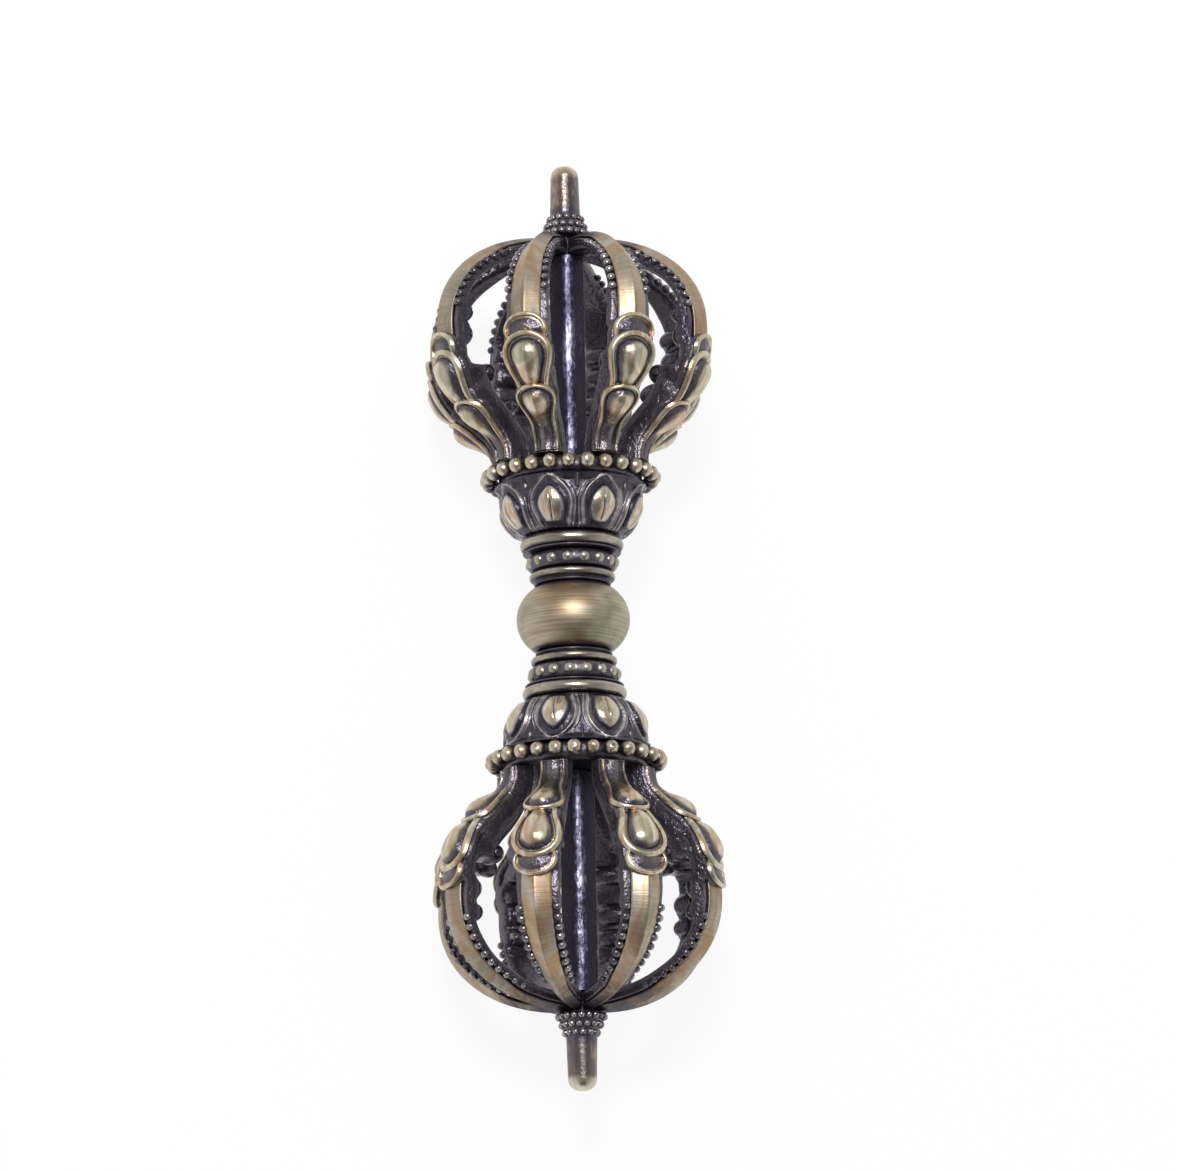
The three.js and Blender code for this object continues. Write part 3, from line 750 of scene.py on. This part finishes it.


# The central shafts: a square bar with broken corners stands on one corner in each cage, from
# the lotus to the finial. It is cast and left nearly black, with a wet looking lacquer. Its top
# and bottom corners are worn to a bluish sheen, part wear and part painted highlight.
shaft_half_width = 2.55
shaft_corner = 2.95                  # from the axis to the broken corners
shaft_softness = 22                  # higher is sharper
tang_low, spigot_high, _ = ring_box("upper_central_shaft")
shaft_low = boss_top + piece_gap
shaft_high = 63.5                    # the shoulder under the finial
tang_radius, spigot_radius = 2.0, 1.9
# The top and bottom corners' rub is their wear and also a painted highlight along them
shaft_corner_wear_and_highlight = 0.37                    # rub of the top and bottom corners

# The section lies inside eight flats at two distances from the axis. Its reach in a direction
# comes from the high powers of how near each flat is there, which rounds the edges a little.
around = np.linspace(0, 2 * np.pi, 192, endpoint=False)
flats = np.arange(8) * np.pi / 4
flat_distance = np.where(np.arange(8) % 2 == 0, shaft_corner, shaft_half_width)
nearness = np.maximum(np.cos(around - flats[:, None]), 0) / flat_distance[:, None]
bar_reach = (nearness ** shaft_softness).sum(0) ** (-1 / shaft_softness)
shaft_profile = [
    (0, tang_low, 0), (1, tang_low, 0), (1, shaft_low, 0), (1, shaft_low, 1),
    *[(1, height, 1) for height in np.linspace(shaft_low + 0.2, shaft_high - 0.2, 60)],
    (1, shaft_high, 1), (1, shaft_high, 0), (1, spigot_high, 0), (0, spigot_high, 0),
]
solid, height, bar = np.array(shaft_profile).T[:, :, None]
pin_reach = np.where(height < (shaft_low + shaft_high) / 2, tang_radius, spigot_radius)
uneven = 1 + 0.006 * np.sin(height * 1.3) + 0.004 * np.sin(height * 3.1 + 1)
reach = solid * np.where(bar > 0, bar_reach * uneven, pin_reach)
shaft_points = np.stack(np.broadcast_arrays(
    reach * np.cos(around + np.pi / 2), height, -reach * np.sin(around + np.pi / 2),
), -1)
corner_nearness = np.cos(2 * around)             # 1 in the middle of the top and bottom corners
shaft_wear_and_highlight = bar * shaft_corner_wear_and_highlight * smooth(corner_nearness, 0.5, 0.9)
# Bluish tones of the worn corners, which also give the painted sheen along them
shaft_wear_and_sheen_tones = cloudy_tones("worn_and_sheen_shaft_tones", [
    (0.30, (0.24, 0.23, 0.38)), (0.50, (0.52, 0.51, 0.66)), (0.70, (0.28, 0.27, 0.42)),
])
shaft_dark = cloudy_tones("dark_shaft_tones", [
    (0.35, (0.020, 0.015, 0.034)), (0.65, (0.032, 0.026, 0.042)),
])
shaft_finish = antique_brass("black_shaft_brass", ragged=1.1, fineness=1700.0, along=0.5,
                             line_depth=0.0, line_shade=0.0, pit_scale=2800.0, pit_depth=0.1,
                             bright_roughness=0.34, coat=0.25, tones=shaft_wear_and_sheen_tones,
                             dark_tones=shaft_dark, between=(0.08, 0.075, 0.13))
for head, side in heads.items():
    add_piece(f"{head}_cast_shaft", [skin(shaft_points, shaft_wear_and_highlight, height)], shaft_finish,
              [f"{head}_central_shaft"], side)


# The prongs: eight curved claws stand on each pearl ring and meet under the finial. Each was
# cast in one piece, with three leaves one over the other at its foot, a ridged and brushed
# blade above them with a dark row of beads down each side, and scrolls on its inner side.
prong_count = 8
half_pitch = np.pi / prong_count
prong_root_radius = 13.9
cage_radius = 24.9
cage_end_radius = 2.2
root_start, cage_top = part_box("upper_prong_1")[0].y / mm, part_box("upper_prong_1")[1].y / mm
cage_waist = root_start + 22.3
flank_shares = np.array([
    [0, 0], [0.01, 0.1], [0.19, 0.235], [0.62, 0.41], [0.855, 0.605], [0.965, 0.8], [1, 1],
])


def ridge_path(t):
    """A prong's outer ridge as [radius, height]. From 0 to 1 it is a smooth curve through the
    flank's shares, each span a cubic that leaves its ends in the direction of their
    neighbours. From 1 to 2 it is a quarter of an ellipse, a little squared."""
    spans = len(flank_shares) - 1
    span = np.clip((t * spans).astype(int), 0, spans - 1)
    w = (np.clip(t, 0, 1) * spans - span)[:, None]
    before, start, end, after = (flank_shares[np.clip(span + k, 0, spans)] for k in (-1, 0, 1, 2))
    leave, arrive = (end - before) / 2, (after - start) / 2
    lower = ((2 * start - 2 * end + leave + arrive) * w ** 3
             + (3 * end - 3 * start - 2 * leave - arrive) * w ** 2 + leave * w + start)
    flank = [cage_radius - prong_root_radius, cage_waist - root_start]
    lower = [prong_root_radius, root_start] + lower * flank
    angle = np.clip(t - 1, 0, 1)[:, None] * np.pi / 2
    upper = np.hstack([
        cage_end_radius + (cage_radius - cage_end_radius) * np.cos(angle),
        cage_waist + (cage_top - cage_waist) * np.sin(angle) ** (1 / 1.1),
    ])
    return np.where(t[:, None] <= 1, lower, upper)


def soften(values, count):
    """A running mean over count values, with the ends held."""
    padded = np.concatenate([
        2 * values[:1] - values[count:0:-1], values, 2 * values[-1:] - values[-2:-count - 2:-1],
    ])
    window = np.ones(2 * count + 1) / (2 * count + 1)
    return np.stack([np.convolve(column, window, "valid") for column in padded.T], 1)


ridge = soften(ridge_path(np.linspace(0, 2, 2401)), 50)
along = np.gradient(ridge, axis=0)
inward = np.stack([-along[:, 1], along[:, 0]], 1) / np.hypot(*along.T)[:, None]
ridge_length = np.concatenate([[0], np.cumsum(np.hypot(*np.diff(ridge, axis=0).T))])


def at(height):
    """The length along the ridge at a height above the bulb's middle."""
    return np.interp(height, ridge[:, 1], ridge_length)


def on_prong(length, side, depth):
    """Points of the prong that stands along +X: a place along the ridge, off to the side, and
    below the ridge, square to it. The sides keep clear of the neighbouring prongs."""
    length, side, depth = np.broadcast_arrays(length, side, depth)
    radius, height = (
        np.interp(length, ridge_length, ridge[:, axis])
        + depth * np.interp(length, ridge_length, inward[:, axis]) for axis in (0, 1)
    )
    room = (radius - piece_gap / 2 / np.sin(half_pitch)) * np.tan(half_pitch)
    return np.stack([radius, height, np.clip(side, -room, room)], -1)


def through(length, places):
    """A value that eases from each (height, value) of a list to the next."""
    heights, values = np.array(places).T
    marks = at(heights)
    span = np.clip(np.searchsorted(marks, length, "right") - 1, 0, len(marks) - 2)
    share = smooth(length, marks[span], marks[span + 1])
    return values[span] + (values[span + 1] - values[span]) * share


def both_sides(half):
    """A whole outline from its right half, which starts and ends in the middle."""
    return np.concatenate([half, half[-2:0:-1] * [-1, 1]])


def closed(rows):
    """Rows of points with each end row drawn together to a point in its middle."""
    first, last = (np.broadcast_to(end.mean(0), end.shape)[None] for end in (rows[0], rows[-1]))
    return np.concatenate([first, rows, last])


# A prong's dark body, under the leaves and the blade. Each list gives a half width or a depth
# below the ridge at heights above the bulb's middle.
body_rub = 0.14
body_width = [
    (26.4, 2.5), (30.5, 2.4), (33.5, 3.1), (35.8, 3.3), (37.2, 3.0), (40, 3.6), (43.5, 3.9),
    (46, 3.7), (48.5, 3.6), (51, 3.5), (57, 3.3), (63, 2.5), (65.5, 1.8), (66.8, 1.5),
]
body_depth = [
    (26.4, 5.2), (32, 5.2), (35, 6.2), (37, 7.0), (39.3, 7.2), (41.2, 4.3), (42.7, 3.9),
    (44.5, 4.1), (46.2, 5.0), (48.3, 5.2), (50, 4.6), (51.5, 5.2), (52.8, 5.1), (54.4, 3.8),
    (62, 3.6), (66.8, 3.1),
]
body_top = [
    (26.4, 0.7), (45, 0.7), (46.6, 1.75), (53, 1.75), (55, 1.95), (62, 1.9), (65.5, 1.2),
    (66.8, 0.9),
]
low = np.linspace(0.14, 0.5, 6)
bend = np.radians(np.linspace(0, 90, 14))
body_half = np.concatenate([
    np.stack([np.linspace(0, 0.9, 5), 0.06 * np.linspace(0, 1, 5) ** 2], 1),
    np.stack([np.ones(6), low], 1),
    np.stack([np.cos(bend) ** 0.5, 0.52 + 0.48 * np.sin(bend)], 1),
])
body_outline = both_sides(body_half)
length = np.linspace(0, ridge_length[-1], 260)[:, None]
top = through(length, body_top)
depth = top + body_outline[:, 1] * (through(length, body_depth) - top)
body_points = closed(on_prong(length, body_outline[:, 0] * through(length, body_width), depth))
# The body's rub fades out towards its inner side, so that it is darker there
body = skin(body_points, body_rub * (1 - smooth(body_outline[:, 1], 0.2, 0.8)), 0.0)

# The blade: a gabled strip, a little hollow on both slopes, that comes out from under the cuff
blade_start, blade_out = 45.6, 46.8  # heights: its hidden start, and where it is clear of the cuff
blade_sunk = 0.9                     # of its start
blade_width = [(45, 2.6), (50, 2.6), (55, 2.45), (60, 2.15), (63, 1.8), (65.5, 1.4), (66.8, 1.3)]
blade_drops = [(45, 1), (62, 1), (65.5, 0.6), (66.8, 0.5)]       # share of the gable that is left
blade_bare = [
    (45, 0.65), (50.5, 0.8), (54, 1), (61, 1), (63.5, 0.7), (65, 0.4), (66.8, 0.15),
]
gable = 1.4                          # from the ridge down to the blade's edges
slope = np.linspace(0, 1, 10)
blade_half = np.concatenate([
    np.stack([slope, gable * slope ** 1.12], 1),
    [[1.01, gable + 0.1], [1.0, gable + 0.28], [0.95, gable + 0.45]],
    [[0.6, gable + 0.7], [0, gable + 0.7]],
])
blade_outline = both_sides(blade_half)
length = np.linspace(at(blade_start), ridge_length[-1], 150)[:, None]
blade_drop = blade_outline[:, 1] * through(length, blade_drops)
blade_drop = blade_drop + blade_sunk * (1 - smooth(length, at(blade_start), at(blade_out)))
blade_side = blade_outline[:, 0] * through(length, blade_width)
blade_points = closed(on_prong(length, blade_side, blade_drop))
blade_grain = np.concatenate([length[:1], length, length[-1:]])
blade_rub = np.where(blade_outline[:, 1] < gable + 0.15, 0.9, 0.1)
blade = skin(blade_points, blade_rub * through(blade_grain, blade_bare), blade_grain)

# A row of beads down each side of the blade, which get smaller towards its end
row_start, row_end = 53.0, 65.5      # heights
row_bead_radius = 0.8
row_pitch = 1.95
row_offset, row_depth = 0.65, 2.0    # from the blade's edge out, and below the ridge
row_places = np.arange(at(row_start), at(row_end), row_pitch)
row_length = np.tile(row_places, 2)[:, None, None]
row_side = np.repeat([1, -1], len(row_places))[:, None, None]
row_size = row_bead_radius * through(row_length, [(53, 1), (60, 1), (65.4, 0.75), (66, 0.75)])
row_unit = ball(9, 14)
row_points = on_prong(
    row_length + row_size * row_unit[..., 0],
    row_side * (through(row_length, blade_width) + row_offset + row_size * row_unit[..., 1]),
    row_depth + row_size * row_unit[..., 2],
)
row_outer = 0.7 * (row_side * row_unit[..., 1] - row_unit[..., 2])
bead_rows = skin(row_points, 0.08 + 0.42 * smooth(row_outer, 0.2, 0.9), 0.0)


# The scrolls: one behind the petal with two small ones, and three behind the blade's start
scroll_groove = 0.22                 # share of the half width
scroll_rub = 0.08


def scroll(height, depth, radius, half_width):
    """A rolled scroll that lies across the prong, turned about its own centre: a disc whose
    two faces have a round edge and one groove. Along its radius from 0 to 1 the face stands at
    the root of one less the fourth power, less the groove."""
    out = np.sin(np.linspace(0, np.pi / 2, 20))
    face = np.sqrt(1 - out ** 4) - scroll_groove * ridge_line(out - 0.5, 0.12)
    out, face = np.concatenate([out, out[-2::-1]]), np.concatenate([face, -face[-2::-1]])
    out, face = out[:, None], face[:, None]
    turn = np.linspace(0, 2 * np.pi, 28, endpoint=False)
    centre = on_prong(at(height), 0.0, depth)
    inner = on_prong(at(height), 0.0, depth + 1.0) - centre
    ahead = np.array([inner[1], -inner[0], 0.0])
    spoke = np.cos(turn)[:, None] * ahead + np.sin(turn)[:, None] * inner
    points = centre + radius * out[..., None] * spoke
    points = points + half_width * face[..., None] * np.array([0.0, 0.0, 1.0])
    return skin(points, scroll_rub * smooth(out * np.sin(turn), 0.2, 0.9), 0.0)


scrolls = [
    scroll(35.6, 4.4, 2.2, 2.8), scroll(37.9, 6.9, 1.7, 2.6), scroll(38.6, 4.6, 1.7, 3.0),
    scroll(47.2, 3.9, 2.0, 3.1), scroll(52.2, 4.3, 1.6, 2.8), scroll(49.9, 3.9, 1.0, 2.7),
]

# The skirt round every leaf, from its foot up to its edge: how far in and down, and its rub
skirt_in = np.array([0.9, 0.55, 0.3, 0.12, 0.06, 0.14, 0.3, 0.16])[:, None]
skirt_down = np.array([2.1, 1.9, 1.5, 1.1, 0.85, 0.6, 0.45, 0.25])[:, None]
skirt_rub = np.array([0.05, 0.05, 0.08, 0.2, 0.35, 0.12, 0.05, 0.2])[:, None]
leaf_rim_height = 0.6
leaf_foot_depth = 2.4                # where the skirt closes, inside the body
leaf_sag = 0.9                       # of the leaf's edges below its middle line
leaf_tuck, leaf_lift = 0.8, 0.75     # its start's depth below the ridge, and the rise from there
groove_rub = 0.03


def leaf(start, tip, neck, waist, width, arch, rim, groove, dome, crease, seed_rub):
    """A leaf that lies on the ridge from start to tip. Its outline keeps the waist over the
    neck's share, widens to the shoulder and ends in an arch. Between the outline and the
    leaf's middle line, at a given distance from the edge, come a round rim, a groove and a
    domed seed, which is fuller towards the tip. The seed rises as one less the square of what
    is left to the middle, to the power of 0.7, and a crease may run along it. Outside the edge
    a skirt with one small roll goes down into the body."""
    base, end = at(start), at(tip)
    shoulder = end - arch
    flank = np.linspace(0, 1, 30)[:-1]
    swing = np.radians(np.linspace(0, 90, 21))
    run = np.concatenate([base + (shoulder - base) * flank, shoulder + arch * np.sin(swing)])
    half = np.concatenate([
        waist + (width - waist) * smooth(flank, neck, 1.0), width * np.cos(swing),
    ])
    line = np.minimum(run, shoulder)
    rise = np.concatenate([flank, np.ones(len(swing))])
    run, line, rise = (np.concatenate([v, v[-2::-1]]) for v in (run, line, rise))
    half = np.concatenate([half, -half[-2::-1]])
    reach = np.hypot(run - line, half)
    grown = smooth(rise, 0.7 * neck, 0.7 * neck + 0.6)

    bead = np.linspace(0, 1, 11)[:, None]
    seed = np.linspace(0, 1, 15)[1:, None] ** 1.3
    level = np.zeros((1, len(run)))
    edge = np.concatenate([
        skirt_in + level, rim * bead + level, rim + groove + level,
        rim + groove + (reach - rim - groove) * seed,
    ])
    domed = (1 - (1 - seed) ** 2) ** 0.7 * (0.35 + 0.65 * grown)
    round_rim = leaf_rim_height * np.sqrt(np.sin(np.pi * bead) + 1e-9)
    up = np.concatenate([-skirt_down + level, round_rim + level, level, dome * domed])
    bare = 0.4 + 0.6 * smooth(rise, 0.6 * neck, 0.6 * neck + 0.45) if neck else 1.0
    rim_rub = 0.65 + 0.45 * np.sin(np.pi * bead)
    rub = np.concatenate([
        skirt_rub * bare + level, rim_rub * bare + level, groove_rub + level,
        seed_rub * smooth(seed, 0.0, 0.55) * (0.55 + 0.45 * grown) * bare,
    ])
    inset = 1 - edge / reach
    side, place = half * inset, line + (run - line) * inset
    first_seed = len(skirt_in) + len(bead)
    up[first_seed:] += crease * np.exp(-np.abs(side[first_seed:]) / 0.35)
    tilt = -leaf_tuck + leaf_lift * smooth(place, base, shoulder)
    depth = leaf_sag * (side / width) ** 2 - up - tilt
    closing = on_prong(line, 0 * line, leaf_foot_depth)[None]
    points = on_prong(place, side, depth)
    return skin(np.concatenate([closing, points]), np.concatenate([rub[:1], rub]),
                0.5 * np.concatenate([side[:1], side]))


lower_leaf = leaf(26.6, 36.2, neck=0.42, waist=2.3, width=3.6, arch=3.2, rim=0.75, groove=0.25,
                  dome=1.5, crease=0.1, seed_rub=0.95)
petal = leaf(35.0, 44.7, neck=0.0, waist=2.8, width=4.45, arch=4.0, rim=1.15, groove=0.36,
             dome=1.6, crease=0.0, seed_rub=1.0)
cuff = leaf(42.5, 47.7, neck=0.0, waist=3.3, width=3.9, arch=3.0, rim=0.8, groove=0.5,
            dome=0.2, crease=0.0, seed_rub=0.25)

prong_skins = [body, blade, bead_rows, *scrolls, lower_leaf, petal, cuff]
blade_place, rows_place = 1, 2       # in the list above
prong_finish = antique_brass("rubbed_prong_brass", ragged=0.6, fineness=900.0, along=0.4,
                             breadth=200.0, lines=4.0, line_depth=0.016, line_shade=0.2,
                             pit_scale=1500.0, pit_depth=0.2, bright_roughness=0.28,
                             dark_roughness=0.24, coat=0.6, tones=leaf_tones,
                             between=(0.19, 0.15, 0.125))
blade_tones = cloudy_tones("blade_tones", [
    (0.28, (0.28, 0.25, 0.17)), (0.40, (0.40, 0.35, 0.27)), (0.50, (0.40, 0.27, 0.16)),
    (0.60, (0.47, 0.42, 0.35)), (0.72, (0.30, 0.27, 0.19)),
])
blade_finish = antique_brass("brushed_blade_brass", ragged=0.7, fineness=900.0, along=0.25,
                             breadth=190.0, lines=5.0, line_depth=0.03, line_shade=0.16,
                             bright_roughness=0.37, tones=blade_tones)
small_bead_tones = cloudy_tones("small_bead_tones", [
    (0.30, (0.28, 0.26, 0.26)), (0.50, (0.52, 0.49, 0.47)), (0.70, (0.36, 0.34, 0.33)),
])
small_bead_finish = antique_brass("dark_bead_brass", ragged=0.8, fineness=2000.0,
                                  line_depth=0.0, line_shade=0.0, pit_scale=2400.0,
                                  pit_depth=0.1, bright_roughness=0.2, dark_roughness=0.22,
                                  coat=0.7, tones=small_bead_tones, between=(0.20, 0.185, 0.19))
for head, side in heads.items():
    for number in range(1, prong_count + 1):
        angle = (2 * number - 1) * half_pitch
        spin = np.array([
            [np.cos(angle), 0, -np.sin(angle)], [0, 1, 0], [np.sin(angle), 0, np.cos(angle)],
        ])
        turned = [(points @ spin, rub, grain, quads) for points, rub, grain, quads in prong_skins]
        add_piece(f"{head}_claw_{number}", turned, prong_finish, [f"{head}_prong_{number}"],
                  side, {blade_place: blade_finish, rows_place: small_bead_finish})


# The finials: a cast cone with three rows of small dark beads closes each cage and ends in a
# plain round rod that is rubbed bare. A socket in its foot sits on the shaft's spigot.
finial_low, finial_high, _ = ring_box("upper_finial")
socket_radius, socket_depth = 2.2, 3.3
cone_length = 4.1
cone_bottom, cone_top = 3.65, 2.62
cone_edge = 0.3                      # broken off the cone's lower edge
rod_foot_radius, rod_end_radius = 2.6, 2.42
rod_round = 2.2                      # length of the rod's rounded end
rod_bare, rod_end_bare = 0.23, 0.5
cone_rows = 3
cone_bead = 0.6
cone_pitch = 2.1                     # from bead to bead, in bead radii
cone_row_bottom, cone_row_top = 4.0, 2.45        # circles of rows at the cone's two ends
cone_bead_bare, cone_bead_uneven = 0.43, 0.12
rod_start = finial_low + cone_length
rod_shoulder = finial_high - rod_round
rod_places = np.linspace(rod_start, rod_shoulder, 24)
end_bend = np.radians(np.linspace(0, 90, 20))
finial_profile = np.concatenate([
    [[0, finial_low + socket_depth], [socket_radius, finial_low + socket_depth]],
    [[socket_radius, finial_low], [cone_bottom - cone_edge, finial_low]],
    [[cone_bottom, finial_low + cone_edge], [cone_top, rod_start - 0.2]],
    np.stack([np.linspace(rod_foot_radius, rod_end_radius, 24), rod_places], 1),
    np.stack([rod_end_radius * np.cos(end_bend) ** 0.85,
              rod_shoulder + rod_round * np.sin(end_bend) ** 0.9], 1),
])
rod_grain = rod_foot_radius * np.linspace(0, 2 * np.pi, 96, endpoint=False)
finial_finish = antique_brass("rubbed_finial_brass", ragged=0.7, fineness=1200.0, along=0.4,
                              lines=3.0, line_depth=0.014, line_shade=0.2, pit_scale=1800.0,
                              pit_depth=0.06, bright_roughness=0.18, dark_roughness=0.22,
                              coat=0.6, between=(0.17, 0.125, 0.10))
for head, side in heads.items():
    points, _ = turned_grid(finial_profile, columns=len(rod_grain))
    height = finial_profile[:, 1:]
    rub = (0.1 + rod_bare * smooth(height, rod_start + 0.2, rod_start + 1.5)
           + rod_end_bare * smooth(height, rod_shoulder - 0.6, finial_high - 1.2))
    skins = [skin(points, rub, rod_grain)]
    for row in range(cone_rows):
        place = (row + 0.4) / cone_rows
        circle = cone_row_bottom + (cone_row_top - cone_row_bottom) * place
        count = round(2 * np.pi * circle / (cone_pitch * cone_bead))
        skins.append(bead_circle(count, circle, finial_low + place * cone_length,
                                 (cone_bead, cone_bead, cone_bead), rows=9, columns=12,
                                 bare=cone_bead_bare, seed=row, uneven=cone_bead_uneven))
    add_piece(f"{head}_tip", skins, finial_finish, [f"{head}_finial"], side,
              {place: small_bead_finish for place in range(1, cone_rows + 1)})
